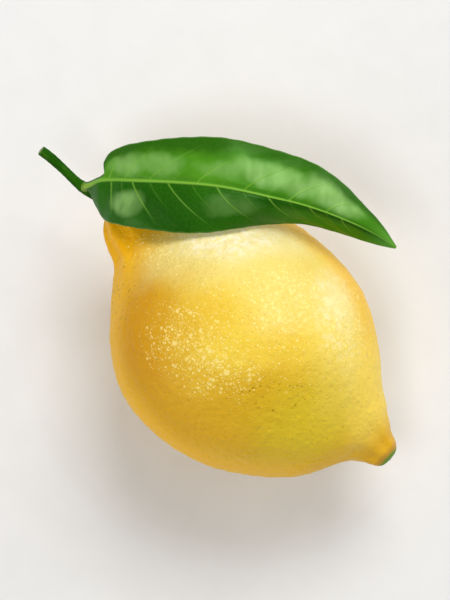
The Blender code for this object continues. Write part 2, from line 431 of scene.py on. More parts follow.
def parts_of(tree, vector):
    """The three channels of a vector."""
    return tuple(new_node(tree, "ShaderNodeSeparateXYZ", {0: vector}).outputs)


def zone(tree, vector, centre, reach, soft=0.7):
    """1 in the middle of a soft-edged ellipsoid with the given centre and half-axes, in millimetres."""
    local = tree.nodes.new("ShaderNodeMapping")
    local.vector_type = "TEXTURE"
    place, size = ([value * MM for value in values] for values in (centre, reach))
    turn = (0.0, 0.0, VIEW_TURN)
    set_inputs(tree, local, {"Vector": vector, "Location": place, "Rotation": turn, "Scale": size})
    length = tree.nodes.new("ShaderNodeVectorMath")
    length.operation = "LENGTH"
    tree.links.new(local.outputs[0], length.inputs[0])
    return map_range(tree, length.outputs["Value"], 1.0 - soft, 1.0 + soft, 1.0, 0.0)


def wandering(tree, vector, scale, reach):
    """The coordinates pushed about by up to half the reach, in millimetres."""
    source = new_node(tree, "ShaderNodeTexNoise", {"Vector": vector, "Scale": scale, "Detail": 3.0})
    push = tree.nodes.new("ShaderNodeVectorMath")
    push.operation = "MULTIPLY_ADD"
    set_inputs(tree, push, {0: source.outputs["Color"], 1: (reach * MM,) * 3, 2: vector})
    back = tree.nodes.new("ShaderNodeVectorMath")
    back.operation = "SUBTRACT"
    set_inputs(tree, back, {0: push.outputs[0], 1: (reach * MM / 2,) * 3})
    return back.outputs[0]


def specks(tree, vector, spacing, fill, size):
    """Scattered dots of unlike size: fill is the share of places that hold one."""
    cells = new_node(tree, "ShaderNodeTexVoronoi", {"Vector": vector, "Scale": 1.0 / (spacing * MM)})
    draw = new_node(tree, "ShaderNodeSeparateColor", {0: cells.outputs["Color"]})
    spare = math_node(tree, "SUBTRACT", 1.0, draw.outputs[0])
    room = math_node(tree, "SUBTRACT", fill, spare)
    radius = times(tree, room, size)
    inside = math_node(tree, "SUBTRACT", radius, cells.outputs["Distance"])
    return map_range(tree, inside, *SPECK_EDGE)


# Fruit


def fruit_centre(station):
    """How far the fruit's centre line stands aside at a station along the axis."""
    neck = NECK_SHIFT * smooth_step(NECK_BEND_FROM, NECK_BEND_TO, station)
    nipple = NIPPLE_SHIFT * smooth_step(NIPPLE_BEND_FROM, NIPPLE_BEND_TO, station)
    return neck + nipple


def within(station, fades):
    """1 in the middle of a stretch of stations, falling to 0 towards both its ends."""
    start, full_from, full_to, end = fades
    return smooth_step(start, full_from, station) * smooth_step(end, full_to, station)


def fruit_relief(station, angle):
    """Furrows that run out from both ends, and low lumps over the rest."""
    neck = within(station, NECK_FURROW_FADES)
    nipple = within(station, NIPPLE_FURROW_FADES)
    furrows = NECK_FURROW_DEPTH * neck * np.cos(NECK_FURROWS * angle + 0.4 * np.sin(2 * angle))
    furrows += NIPPLE_FURROW_DEPTH * nipple * np.cos(NIPPLE_FURROWS * angle + 1.0)
    lumps = sum(np.sin(around * angle + station / length + phase) for around, length, phase in LUMP_WAVES)
    return furrows + LUMP_HEIGHT * lumps * (1.0 - neck) * (1.0 - nipple)


def round_cage(cells):
    """Unit directions and quads of a cube grid drawn onto a sphere."""
    cube = bpy.data.meshes.new("cage")
    shape = bmesh.new()
    bmesh.ops.create_cube(shape, size=2.0)
    bmesh.ops.subdivide_edges(shape, edges=shape.edges[:], cuts=cells - 1, use_grid_fill=True)
    shape.to_mesh(cube)
    shape.free()
    points = np.empty(len(cube.vertices) * 3)
    cube.vertices.foreach_get("co", points)
    quads = np.empty(len(cube.loops), int)
    cube.loops.foreach_get("vertex_index", quads)
    bpy.data.meshes.remove(cube)
    return unit(np.tan(points.reshape(-1, 3) * math.pi / 4)), quads.reshape(-1, 4)


def on_fruit(directions, outline):
    """Points of the smooth fruit in the given directions from its middle."""
    polar = np.arccos(np.clip(directions[:, 0], -1.0, 1.0))
    angle = np.arctan2(directions[:, 1], directions[:, 2])
    share = (1.0 - polar / math.pi) * (len(outline) - 1)
    index = np.arange(len(outline))
    station = np.interp(share, index, outline[:, 0])
    radius = np.interp(share, index, outline[:, 1])
    radius = radius + fruit_relief(station, angle) * smooth_step(0.0, FULL_RELIEF_RADIUS, radius)
    side = fruit_centre(station) + radius * np.sin(angle)
    return np.column_stack([station, side, AXIS_HEIGHT + radius * np.cos(angle)])


def scattered(count, random):
    """Directions spread evenly over a sphere, each pushed a little off its place."""
    index = np.arange(count) + 0.5
    height = 1.0 - 2.0 * index / count
    turn = math.pi * (1.0 + math.sqrt(5.0)) * index
    level = np.sqrt(1.0 - height**2)
    spots = np.column_stack([height, level * np.cos(turn), level * np.sin(turn)])
    spots += random.normal(0.0, PORE_SCATTER * math.sqrt(4.0 / count), spots.shape)
    return unit(spots)


def dimples(points, outline, spacing, random):
    """For each point: how deep it lies in the nearest pore, from 0 to 1."""
    count = int(FRUIT_AREA / spacing**2)
    spots = on_fruit(scattered(count, random), outline)
    strength = random.uniform(*PORE_STRENGTHS, count)
    size = spacing * random.uniform(*PORE_RADIUS_SHARES, count)
    nearest = KDTree(count)
    for index, spot in enumerate(spots):
        nearest.insert(spot, index)
    nearest.balance()
    depth = np.empty(len(points))
    for row, point in enumerate(points):
        _, index, distance = nearest.find(point)
        depth[row] = strength[index] * math.exp(-((distance / size[index]) ** 2))
    return depth


def make_fruit():
    random = np.random.default_rng(SEED)
    outline = curve_through(FRUIT_OUTLINE, np.linspace(0.0, 1.0, OUTLINE_SAMPLES))
    outline = evenly_spaced(outline, OUTLINE_POINTS)
    directions, quads = round_cage(FRUIT_CELLS)
    points = on_fruit(directions, outline)
    quads = quads if facing_out(points, quads) else quads[:, ::-1]
    normals = normals_of(points, quads)
    pores = dimples(points, outline, PORE_SPACING, random)
    pebbles = dimples(points, outline, PEBBLE_SPACING, random)
    smooth_end = smooth_step(FRUIT_OUTLINE[-1][0], SMOOTH_TIP_FROM, points[:, 0])
    relief = (PEBBLE_HEIGHT * pebbles - PORE_DEPTH * pores) * smooth_end
    points = points + normals * relief[:, None]
    points[:, 2] = np.maximum(points[:, 2], 0.0)
    fruit = new_object("lemon_rind", points, quads)
    fruit.data.materials.append(rind_material())
    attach(fruit, "root")
    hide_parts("fruit")


def facing_out(points, quads):
    """Whether the quads' normals point away from the middle."""
    middle = points.mean(axis=0)
    return float(((points - middle) * normals_of(points, quads)).sum()) > 0.0


# Rind colours by place, partly the rind's own greenish yellow, mostly painted shade and painted
# highlights: (centre, half-axes along the picture's right, its up and Z, colour, strength)
RIND_TONE_SHADE_AND_HIGHLIGHT_ZONES = [
    # Painted shade: deep amber on the side away from the key light
    ((-24.5, -17.0, 42.0), (15.5, 35.0, 40.0), (0.60, 0.27, 0.003), 0.9),
    ((4.0, -22.0, 44.0), (28.0, 11.0, 30.0), (0.67, 0.35, 0.006), 0.75),
    ((14.0, -5.0, 55.0), (12.0, 6.0, 20.0), (0.60, 0.35, 0.010), 0.6),
    # The rind's own greenish yellow
    ((27.0, -2.0, 46.0), (15.0, 12.0, 24.0), (0.74, 0.575, 0.028), 0.8),
    # Painted highlights: cream and pale yellow on the lit shoulder under the leaf and on the right
    ((14.0, 21.0, 46.0), (8.0, 20.0, 26.0), (0.87, 0.70, 0.15), 0.8),
    ((-18.0, 14.5, 48.0), (22.0, 9.0, 26.0), (0.87, 0.735, 0.25), 0.9),
    ((-17.0, 18.0, 49.0), (14.0, 5.0, 10.0), (0.95, 0.84, 0.47), 0.7),
    ((9.0, 24.0, 45.0), (5.0, 7.0, 14.0), (0.90, 0.80, 0.42), 0.55),
    ((1.0, 14.5, 54.0), (9.0, 7.0, 20.0), (0.88, 0.73, 0.24), 0.6),
]

# Painted highlight over the painted gold of the flanks: a pale band on the lit right flank near the
# nipple, in the same form
FLANK_HIGHLIGHT_ZONES = [
    ((31.0, 12.0, 35.0), (6.0, 15.0, 16.0), (0.92, 0.70, 0.11), 0.85),
]

# Where whitish mottling of painted highlight lies, on the lit shoulder under the leaf and on the right:
# (centre, half-axes as above, strength)
HIGHLIGHT_MOTTLE_ZONES = [
    ((-20.0, 14.0, 50.0), (14.0, 3.5, 7.0), 0.8),
    ((-14.0, 19.5, 50.0), (8.0, 3.5, 7.0), 0.5),
    ((11.0, 20.0, 50.0), (4.0, 11.0, 8.0), 0.35),
]

# Where pale specks lie, mostly painted glints in lit patches over the rind's faint pale oil glands:
# (centre, half-axes as above, share of places that hold one)
GLINT_SPECK_ZONES = [
    ((-10.0, -8.0, 56.0), (12.0, 11.0, 24.0), 0.6),
    ((-2.0, -8.0, 57.0), (7.0, 8.0, 24.0), 0.66),
    ((5.0, -6.0, 57.0), (6.0, 6.0, 24.0), 0.62),
    ((2.0, 15.0, 54.0), (14.0, 9.0, 24.0), 0.66),
    ((-23.0, 9.0, 48.0), (20.0, 7.0, 22.0), 0.6),
    ((15.0, 20.0, 46.0), (8.0, 15.0, 22.0), 0.6),
    ((-2.0, 8.0, 50.0), (30.0, 24.0, 40.0), 0.42),
]

# Where faint olive dots lie: (centre, half-axes as above, share of places that hold one)
PIT_ZONES = [
    ((-29.0, -11.0, 42.0), (5.0, 12.0, 20.0), 0.7),
    ((-6.0, -22.0, 48.0), (18.0, 7.0, 20.0), 0.4),
    ((15.0, -3.0, 54.0), (12.0, 5.0, 20.0), 0.6),
    ((28.0, -6.0, 48.0), (12.0, 5.0, 20.0), 0.4),
]
SPECKS_EVERYWHERE, PITS_EVERYWHERE = 0.08, 0.04

# Specks: (spacing, size, share of a zone's fill), then the spacings and the size of the fine ones
LARGE_SPECKS, MIDDLE_SPECKS = (2.2, 1.1, 0.5), (1.3, 1.3, 0.55)
FINE_SPECK_SPACINGS, FINE_SPECK_SIZE = (0.8, 0.5, 0.36), 0.85
SPECK_EDGE = (-0.06, 0.09)

# Bands of rind colour: (height or station where it starts, where it is full, colour, strength)
# Painted shade: the flanks turn deeper gold lower down, where they face away from the light
FLANK_SHADE_BAND = (47.0, 37.0, (0.88, 0.49, 0.003), 0.85)
NECK_BAND = (-29.0, -36.0, (0.86, 0.42, 0.002), 0.7)
NIPPLE_BAND = (35.0, 41.0, (0.64, 0.35, 0.018), 0.75)
RING_BAND = (42.6, 44.0, (0.46, 0.22, 0.05), 0.6)

# Other rind colours
RIND_SHADES = [(0.3, (0.77, 0.48, 0.035)), (0.7, (0.86, 0.65, 0.075))]
# Painted highlight: whitish mottling
HIGHLIGHT_MOTTLE_WHITE = (1.0, 0.93, 0.72)
# Cream of the pale oil glands and of the painted glints
GLAND_AND_GLINT_CREAM, SPECK_STRENGTH = (1.0, 0.85, 0.33), 0.62
PIT_OLIVE, PIT_STRENGTH = (0.36, 0.23, 0.006), 0.6
TIP_SHADES = [(0.35, (0.10, 0.27, 0.015)), (0.65, (0.19, 0.36, 0.03))]
TIP_STATIONS, TIP_WOBBLE = (43.9, 44.7), 0.9
SCAR_BROWN, SCAR_RADIUS = (0.10, 0.055, 0.015), 0.9


def all_zones(tree, vector, zones, everywhere):
    """The strongest of several zones, each at its own strength, over a faint level everywhere."""
    level = everywhere
    for centre, reach, strength in zones:
        patch = times(tree, zone(tree, vector, centre, reach), strength)
        level = math_node(tree, "MAXIMUM", patch, level)
    return level


def tinted(tree, vector, colour, zones):
    """The colour with each zone's own colour mixed in."""
    for centre, reach, shade, strength in zones:
        patch = zone(tree, vector, centre, reach)
        colour = tint(tree, patch, colour, shade, strength)
    return colour


def gland_and_glint_specks(tree, place, ragged, fill):
    """Pale specks of several sizes: faint oil glands, and painted glints where the fill is high."""
    spacing, size, part = LARGE_SPECKS
    level = specks(tree, place, spacing, times(tree, fill, part), size)
    spacing, size, part = MIDDLE_SPECKS
    middle = specks(tree, ragged, spacing, times(tree, fill, part), size)
    level = math_node(tree, "MAXIMUM", level, middle)
    for spacing in FINE_SPECK_SPACINGS:
        fine = specks(tree, ragged, spacing, fill, FINE_SPECK_SIZE)
        level = math_node(tree, "MAXIMUM", level, fine)
    return level


def rind_material():
    material, tree, shader, place = new_material("lemon_rind")
    cloudy = wandering(tree, place, scale=90.0, reach=9.0)
    ragged = wandering(tree, place, scale=1400.0, reach=0.5)
    along, _, height = parts_of(tree, place)

    cloud = noise(tree, place, scale=60.0, detail=6.0, roughness=0.62)
    colour = ramp(tree, cloud, RIND_SHADES)
    # Painted shade and painted highlights by zone, with the rind's own greenish yellow
    colour = tinted(tree, cloudy, colour, RIND_TONE_SHADE_AND_HIGHLIGHT_ZONES)
    # Painted shade: deeper gold low on the flanks
    colour = banded(tree, height, colour, FLANK_SHADE_BAND, MM)
    # Painted highlight: a pale band on the lit right flank
    colour = tinted(tree, cloudy, colour, FLANK_HIGHLIGHT_ZONES)
    colour = banded(tree, along, colour, NECK_BAND, MM)
    colour = banded(tree, along, colour, NIPPLE_BAND, MM)

    fine = noise(tree, place, scale=520.0, detail=5.0, roughness=0.65)
    mottle = map_range(tree, fine, 0.42, 0.62)
    # Painted highlight: whitish mottling on the lit shoulder under the leaf
    highlight_mottle = times(tree, mottle, all_zones(tree, cloudy, HIGHLIGHT_MOTTLE_ZONES, 0.0))
    colour = mix(tree, highlight_mottle, colour, HIGHLIGHT_MOTTLE_WHITE)
    # Pale oil glands everywhere, and painted glints in the lit zones
    fill = all_zones(tree, cloudy, GLINT_SPECK_ZONES, SPECKS_EVERYWHERE)
    light = gland_and_glint_specks(tree, place, ragged, fill)
    colour = tint(tree, light, colour, GLAND_AND_GLINT_CREAM, SPECK_STRENGTH)
    fill = all_zones(tree, cloudy, PIT_ZONES, PITS_EVERYWHERE)
    pits = specks(tree, ragged, spacing=1.0, fill=fill, size=0.7)
    colour = tint(tree, pits, colour, PIT_OLIVE, PIT_STRENGTH)

    wobble = noise(tree, place, scale=1500.0, detail=4.0)
    wobble = times(tree, wobble, TIP_WOBBLE * MM)
    end = math_node(tree, "ADD", along, wobble)
    colour = banded(tree, end, colour, RING_BAND, MM)
    tip = map_range(tree, end, *(station * MM for station in TIP_STATIONS))
    colour = mix(tree, tip, colour, ramp(tree, cloud, TIP_SHADES))
    tip_middle = (FRUIT_OUTLINE[-1][0], NIPPLE_SHIFT, AXIS_HEIGHT)
    scar = zone(tree, ragged, tip_middle, (SCAR_RADIUS,) * 3, soft=0.5)
    colour = mix(tree, scar, colour, SCAR_BROWN)

    cells = new_node(tree, "ShaderNodeTexVoronoi", {"Vector": place, "Scale": 1100.0})
    pit = map_range(tree, cells.outputs["Distance"], 0.05, 0.4)
    set_inputs(
        tree,
        shader,
        {
            "Base Color": colour,
            "Normal": bump(tree, pit, distance=0.12 * MM, strength=0.8),
            "Roughness": 0.42,
            "Specular IOR Level": 0.14,
            "Specular Tint": (1.0, 0.78, 0.22, 1.0),
            "Coat Weight": 0.02,
            "Coat Roughness": 0.25,
            "Subsurface Weight": 0.1,
            "Subsurface Radius": (1.0, 0.55, 0.15),
            "Subsurface Scale": 2.5 * MM,
        },
    )
    return material


# Calyx


def make_calyx():
    ends = curve_through(FRUIT_OUTLINE, np.linspace(0.0, NECK_END_SHARE, NECK_END_SAMPLES))
    neck_end = ends[0][0]
    rings, sides = CALYX_RINGS, CALYX_SIDES
    points = []
    for layer in (1, -1):
        for ring in range(1, rings + 1):
            share = math.sin(0.5 * math.pi * ring / rings)
            if layer < 0 and ring == rings:
                continue
            for step in range(sides):
                angle = math.tau * step / sides
                points.append(calyx_point(ends, neck_end, share, angle, layer))
        points.append(calyx_point(ends, neck_end, 0.0, 0.0, layer))
    upper = rings * sides + 1
    hub_top, hub_under = rings * sides, len(points) - 1
    faces = []
    for step in range(sides):
        after = (step + 1) % sides
        faces.append((hub_top, step, after))
        faces.append((hub_under, upper + after, upper + step))
        for ring in range(rings - 1):
            a, b = ring * sides + step, ring * sides + after
            faces.append((a, a + sides, b + sides, b))
        for ring in range(rings - 2):
            a, b = upper + ring * sides + step, upper + ring * sides + after
            faces.append((b, b + sides, a + sides, a))
        a, b = upper + (rings - 2) * sides + step, upper + (rings - 2) * sides + after
        faces.append((b, (rings - 1) * sides + after, (rings - 1) * sides + step, a))
    calyx = new_object("calyx_button", points, faces)
    calyx.data.materials.append(calyx_material())
    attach(calyx, "root")
    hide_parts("calyx")


def calyx_point(ends, neck_end, share, angle, layer):
    """A point of the button's upper or under side, at a share of its reach and an angle."""
    lobe = 0.5 + 0.5 * math.cos(CALYX_LOBES * angle)
    ragged = RAGGED_DEPTH * math.sin(17 * angle) * math.sin(7 * angle + 1.0)
    reach = CALYX_HUB_RADIUS + CALYX_LOBE_REACH * lobe**0.8 + ragged * share
    radius = reach * share
    under = float(np.interp(radius, ends[:, 1], ends[:, 0])) - GAP_SHARE_LEFT * CALYX_GAP
    station = under
    if layer > 0:
        crown = CALYX_THICKNESS * math.sqrt(max(1.0 - share**2, 0.0))
        crease = CREASE_DEPTH * share * (1.0 - share) * 4.0 * (1.0 - lobe) ** 2
        grain = GRAIN_DEPTH * math.sin(40 * angle) * share * (1.0 - share**4)
        station = under - crown + crease + grain
    side = float(fruit_centre(neck_end)) + radius * math.sin(angle)
    return (station, side, AXIS_HEIGHT + radius * math.cos(angle))


CALYX_SHADES = [(0.3, (0.05, 0.11, 0.015)), (0.55, (0.13, 0.22, 0.035)), (0.75, (0.26, 0.2, 0.06))]


def calyx_material():
    material, tree, shader, place = new_material("calyx_green")
    patch = noise(tree, place, scale=500.0, detail=4.0)
    normal = bump(tree, noise(tree, place, scale=2500.0), distance=0.08 * MM, strength=0.7)
    colour = ramp(tree, patch, CALYX_SHADES)
    set_inputs(tree, shader, {"Base Color": colour, "Normal": normal, "Roughness": 0.6})
    return material


# Stem


def make_stem():
    rings, sides = STEM_RINGS, STEM_SIDES
    path = curve_through(STEM_PATH, np.linspace(0.0, 1.0, STEM_SAMPLES))
    path = evenly_spaced(path, rings)
    line, radii = path[:, :3], path[:, 3]
    share = np.linspace(0.0, 1.0, rings)[:, None]
    angle = np.linspace(0.0, math.tau, sides, endpoint=False)[None, :]
    ridges = sum(height * np.cos(count * angle + twist * share) for count, twist, height in STEM_RIDGES)
    knots = KNOT_HEIGHT * np.sin(47.0 * share + 2 * angle) * np.sin(31.0 * share)
    radius = radii[:, None] * (1.0 + ridges + knots)
    rim = np.sqrt(smooth_step(1.0, RIM_FROM, share))
    radius = radius * (1.0 - RIM_ROUNDING + RIM_ROUNDING * rim)
    ring_points, ahead = tube(line, radius, angle, (0.0, 0.0, 1.0))
    points = ring_points.reshape(-1, 3).tolist()
    faces = []
    for ring in range(rings - 1):
        for step in range(sides):
            after = (step + 1) % sides
            a, b = ring * sides + step, ring * sides + after
            faces.append((a, b, b + sides, a + sides))
    cut_faces_from = len(faces)
    inner = (rings - 1) * sides
    for shrink, depth in CUT_RINGS:
        start = len(points)
        middle = line[-1] - ahead[-1] * depth
        for step in range(sides):
            spoke = ring_points[-1, step] - line[-1]
            points.append((middle + spoke * shrink).tolist())
        for step in range(sides):
            after = (step + 1) % sides
            faces.append((inner + step, inner + after, start + after, start + step))
        inner = start
    points.append((line[-1] - ahead[-1] * CUT_MIDDLE_DEPTH).tolist())
    for step in range(sides):
        faces.append((inner + step, inner + (step + 1) % sides, len(points) - 1))
    points.append(line[0].tolist())
    for step in range(sides):
        faces.append(((step + 1) % sides, step, len(points) - 1))
    stem = new_object("stem_bark", points, faces)
    stem.data.materials.append(stem_material())
    stem.data.materials.append(cut_material())
    for polygon in stem.data.polygons[cut_faces_from:-sides]:
        polygon.material_index = 1
    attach(stem, "root")
    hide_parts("stem")


STEM_SHADES = [(0.3, (0.008, 0.062, 0.001)), (0.55, (0.014, 0.092, 0.002)), (0.8, (0.045, 0.14, 0.008))]
CUT_SHADES = [(0.3, (0.10, 0.18, 0.035)), (0.7, (0.30, 0.36, 0.13))]
STEM_SHEEN = (0.5, 1.0, 0.3, 1.0)


def stem_material():
    material, tree, shader, place = new_material("stem_bark")
    stretched = new_node(tree, "ShaderNodeMapping", {"Vector": place, "Scale": (0.25, 1.0, 1.0)})
    grain = noise(tree, stretched.outputs[0], scale=900.0, detail=4.0)
    grained(tree, shader, grain, STEM_SHADES, distance=0.1 * MM, strength=0.6)
    sheen = {"Specular IOR Level": 0.08, "Specular Tint": STEM_SHEEN}
    set_inputs(tree, shader, {"Roughness": 0.6, **sheen})
    return material


def cut_material():
    material, tree, shader, place = new_material("stem_cut")
    fibre = noise(tree, place, scale=2200.0, detail=4.0)
    grained(tree, shader, fibre, CUT_SHADES, distance=0.1 * MM, strength=0.6)
    set_inputs(tree, shader, {"Roughness": 0.75})
    return material


# Leaf


def softened(directions):
    """Unit directions averaged with their neighbours, so that the margin doesn't fold at a bend."""
    padded = np.pad(directions, ((BEND_REACH, BEND_REACH), (0, 0)), mode="edge")
    weights = np.hanning(2 * BEND_REACH + 3)[1:-1]
    return unit(np.column_stack([np.convolve(column, weights, "valid") for column in padded.T]))


def leaf_margin(half, side, midrib, outward):
    """The margin of one half: aside of the midrib by its width and below it by its drop."""
    dense = curve_through(half, np.linspace(0.0, 1.0, LEAF_SAMPLES))
    shares = np.linspace(0.0, 1.0, LEAF_SAMPLES)
    widths = np.interp(shares, dense[:, 0], dense[:, 1])
    drops = np.interp(shares, dense[:, 0], dense[:, 2])
    line = midrib + outward * (side * widths)[:, None]
    line[:, 2] -= drops
    return evenly_spaced(line, LEAF_SAMPLES)


def line_at(line, share):
    """Points of a leaf line at shares of its length."""
    index = np.clip(share, 0.0, 1.0) * (len(line) - 1)
    return np.stack([np.interp(index, np.arange(len(line)), column) for column in line.T], -1)


def leaf_lines():
    """The midrib and the margins of the outer and the inner half."""
    midrib = evenly_spaced(curve_through(MIDRIB, np.linspace(0.0, 1.0, LEAF_SAMPLES)), LEAF_SAMPLES)
    ahead = np.gradient(midrib, axis=0)
    outward = softened(np.column_stack([-ahead[:, 1], ahead[:, 0], np.zeros(LEAF_SAMPLES)]))
    outer = leaf_margin(OUTER_HALF, 1, midrib, outward)
    inner = leaf_margin(INNER_HALF, -1, midrib, outward)
    return midrib, outer, inner


def blade_face(rib, edge, across, share, side):
    """The blade's upper face from a point of the midrib towards one of the margin."""
    width = np.linalg.norm(edge - rib, axis=-1)
    fade = np.sin(math.pi * np.clip(share, 0.0, 1.0)) ** 0.5
    tooth = MARGIN_TOOTH_DEPTH * fade * np.cos(math.tau * MARGIN_TEETH * share) / width
    wave = MARGIN_WAVE_HEIGHT * fade * np.sin(math.tau * MARGIN_WAVES * share + side)
    arch = BLADE_ARCH * np.minimum(width / ARCHED_FROM_WIDTH, 1.0) * np.sin(math.pi * across**0.7)
    arch *= smooth_step(0.0, RIB_SHARE, across)
    point = rib + (edge - rib) * (across + tooth * across**4)[..., None]
    point[..., 2] += arch + wave * across**2
    return point


def fine_veins(veins):
    """One fine vein half-way between each two side veins."""
    return [((a + c) / 2, (b + d) / 2) for (a, b), (c, d) in zip(veins, veins[1:])]


def leaf_rows():
    """Shares of the midrib where a row of points starts: close together at every side vein."""
    veins = OUTER_VEINS + INNER_VEINS + fine_veins(OUTER_VEINS) + fine_veins(INNER_VEINS)
    close = [start + offset / MIDRIB_LENGTH for start, _ in veins for offset in VEIN_ROWS]
    foot = np.arange(0.0, FOOT_SHARE, FOOT_ROW_GAP)
    rest = np.arange(FOOT_SHARE, 1.0, ROW_GAP)
    rows = np.unique(np.concatenate([foot, rest, close, [1.0]]))
    keep = np.concatenate([[True], np.diff(rows) > LEAST_ROW_GAP])
    keep[-1] = True
    return rows[keep]


def half_blade(rows, rib_line, edge_line, side, veins):
    """Points of one half, its relief and its leaf coordinates, from the midrib to the margin."""
    starts, gains = (list(column) for column in zip(*veins))
    gain = np.interp(rows, [0.0] + starts + [1.0], [0.0] + gains + [0.0])[:, None]
    rib_half = RIB_HALF_WIDTH_AT_FOOT + (RIB_HALF_WIDTH_AT_TIP - RIB_HALF_WIDTH_AT_FOOT) * rows**0.7
    width = np.linalg.norm(line_at(edge_line, rows) - line_at(rib_line, rows), axis=-1)
    near_rib = rib_half[:, None] * np.array(RIB_COLUMNS)[None, :] / width[:, None]
    near_rib = near_rib * (RIB_COLUMNS_LIMIT / np.maximum(near_rib[:, -1:], RIB_COLUMNS_LIMIT))
    beyond = np.linspace(0.0, 1.0, BLADE_COLUMNS + 1)[1:] ** COLUMN_SPREAD
    blade = near_rib[:, -1:] + (1.0 - near_rib[:, -1:]) * beyond[None, :]
    across = np.concatenate([near_rib, blade], axis=1)
    share = np.clip(rows[:, None] + gain * across**VEIN_BEND, 0.0, 1.0)
    rib, edge = line_at(rib_line, share), line_at(edge_line, share)
    points = blade_face(rib, edge, across, share, side)
    width = np.linalg.norm(edge - rib, axis=-1)
    out = across * width

    vein = np.zeros_like(across)
    families = ((1.0, VEIN_REACH, veins), (FINE_VEIN_SHARE, FINE_VEIN_REACH, fine_veins(veins)))
    for size, reach, family in families:
        for start, _ in family:
            aside = np.abs(rows - start)[:, None] * MIDRIB_LENGTH * VEIN_SLANT
            slim = VEIN_HALF_WIDTH * (VEIN_WIDTH_AT_RIB - VEIN_WIDTH_LOST * across)
            line = size * np.exp(-((aside / slim) ** 2)) * smooth_step(reach, 0.35 * reach, across)
            vein = np.maximum(vein, line)
    ridge = np.exp(-((out / np.broadcast_to(rib_half[:, None], out.shape)) ** 4))
    middle = smooth_step(0.0, 0.2, across) * smooth_step(1.0, 0.75, across)
    middle = middle * smooth_step(*QUILT_WIDTHS, width)
    order = np.interp(rows, [0.0] + starts + [1.0], np.arange(len(starts) + 2.0))[:, None]
    swell = np.sin(math.pi * order) ** 2 * middle
    relief = VEIN_HEIGHT * vein + QUILT_HEIGHT * swell
    relief += RIB_HEIGHT * ridge * np.sqrt(np.maximum(1.0 - rows, 0.0))[:, None]
    pale = np.maximum(ridge, vein * SIDE_VEIN_PALENESS)
    return points, relief, np.stack([share, across * side, pale], -1)


def make_leaf():
    rib_line, outer_line, inner_line = leaf_lines()
    rows = leaf_rows()
    outer = half_blade(rows, rib_line, outer_line, 1, OUTER_VEINS)
    inner = half_blade(rows, rib_line, inner_line, -1, INNER_VEINS)
    points, relief, places = (np.concatenate([i[:, :0:-1], o], axis=1) for i, o in zip(inner, outer))
    count_rows, columns = relief.shape
    grid = np.arange(relief.size).reshape(count_rows, columns)
    quads = np.stack([grid[:-1, :-1], grid[1:, :-1], grid[1:, 1:], grid[:-1, 1:]], -1).reshape(-1, 4)
    flat, relief, places = points.reshape(-1, 3), relief.reshape(-1), places.reshape(-1, 3)
    normals = normals_of(flat, quads)
    if normals[:, 2].mean() < 0.0:
        quads, normals = quads[:, ::-1], -normals
    share, across = places[:, 0], np.abs(places[:, 1])
    out = np.linalg.norm(flat - line_at(rib_line, share), axis=1)
    under = UNDER_RIB_AT_FOOT + (UNDER_RIB_AT_TIP - UNDER_RIB_AT_FOOT) * share**0.5
    thick = BLADE_THICKNESS + (under - BLADE_THICKNESS) * np.exp(-((out / UNDER_RIB_HALF_WIDTH) ** 2))
    inside = smooth_step(1.0, MARGIN_THINS_FROM, across)
    thick = thick * (MARGIN_THICKNESS_SHARE + (1.0 - MARGIN_THICKNESS_SHARE) * inside)
    width = out / np.maximum(across, 1e-6)
    stalk = smooth_step(*STALK_WIDTHS, width) * smooth_step(*STALK_SHARES, share) * (across > 0.0)
    curl = 1.0 - np.sqrt(1.0 - STALK_CURL * across**2)
    relief = relief - STALK_TOP_DROP * stalk * curl
    thick = thick - STALK_UNDER_RISE * stalk * curl * smooth_step(0.7, 1.6, thick)
    upper = flat + normals * relief[:, None]
    lower = flat - normals * (thick + UNDER_VEIN_SHARE * VEIN_HEIGHT * places[:, 2])[:, None]
    rim = np.concatenate([grid[:, 0], grid[-1, 1:], grid[-2::-1, -1], grid[0, -2:0:-1]])
    after = np.roll(rim, -1)
    count = len(flat)
    sides = np.stack([rim, after, after + count, rim + count], -1)
    outward = np.cross(flat[after] - flat[rim], lower[rim] - flat[rim])
    if (outward * (flat[rim] - flat.mean(axis=0))).sum() < 0.0:
        sides = sides[:, ::-1]
    faces = np.concatenate([quads, quads[:, ::-1] + count, sides])
    leaf = new_object("leaf_blade", np.concatenate([upper, lower]), faces)
    place = leaf.data.attributes.new("leaf_place", "FLOAT_VECTOR", "POINT")
    place.data.foreach_set("vector", np.concatenate([places, places]).ravel())
    leaf.data.materials.append(leaf_material())
    leaf.data.materials.append(leaf_under_material())
    slots = np.zeros(len(leaf.data.polygons), np.int32)
    slots[len(quads) : 2 * len(quads)] = 1
    leaf.data.polygons.foreach_set("material_index", slots)
    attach(leaf, "root")
    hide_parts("leaf")
    make_cushion(rib_line, 0.5 * (upper + lower)[grid[0, columns // 2]])


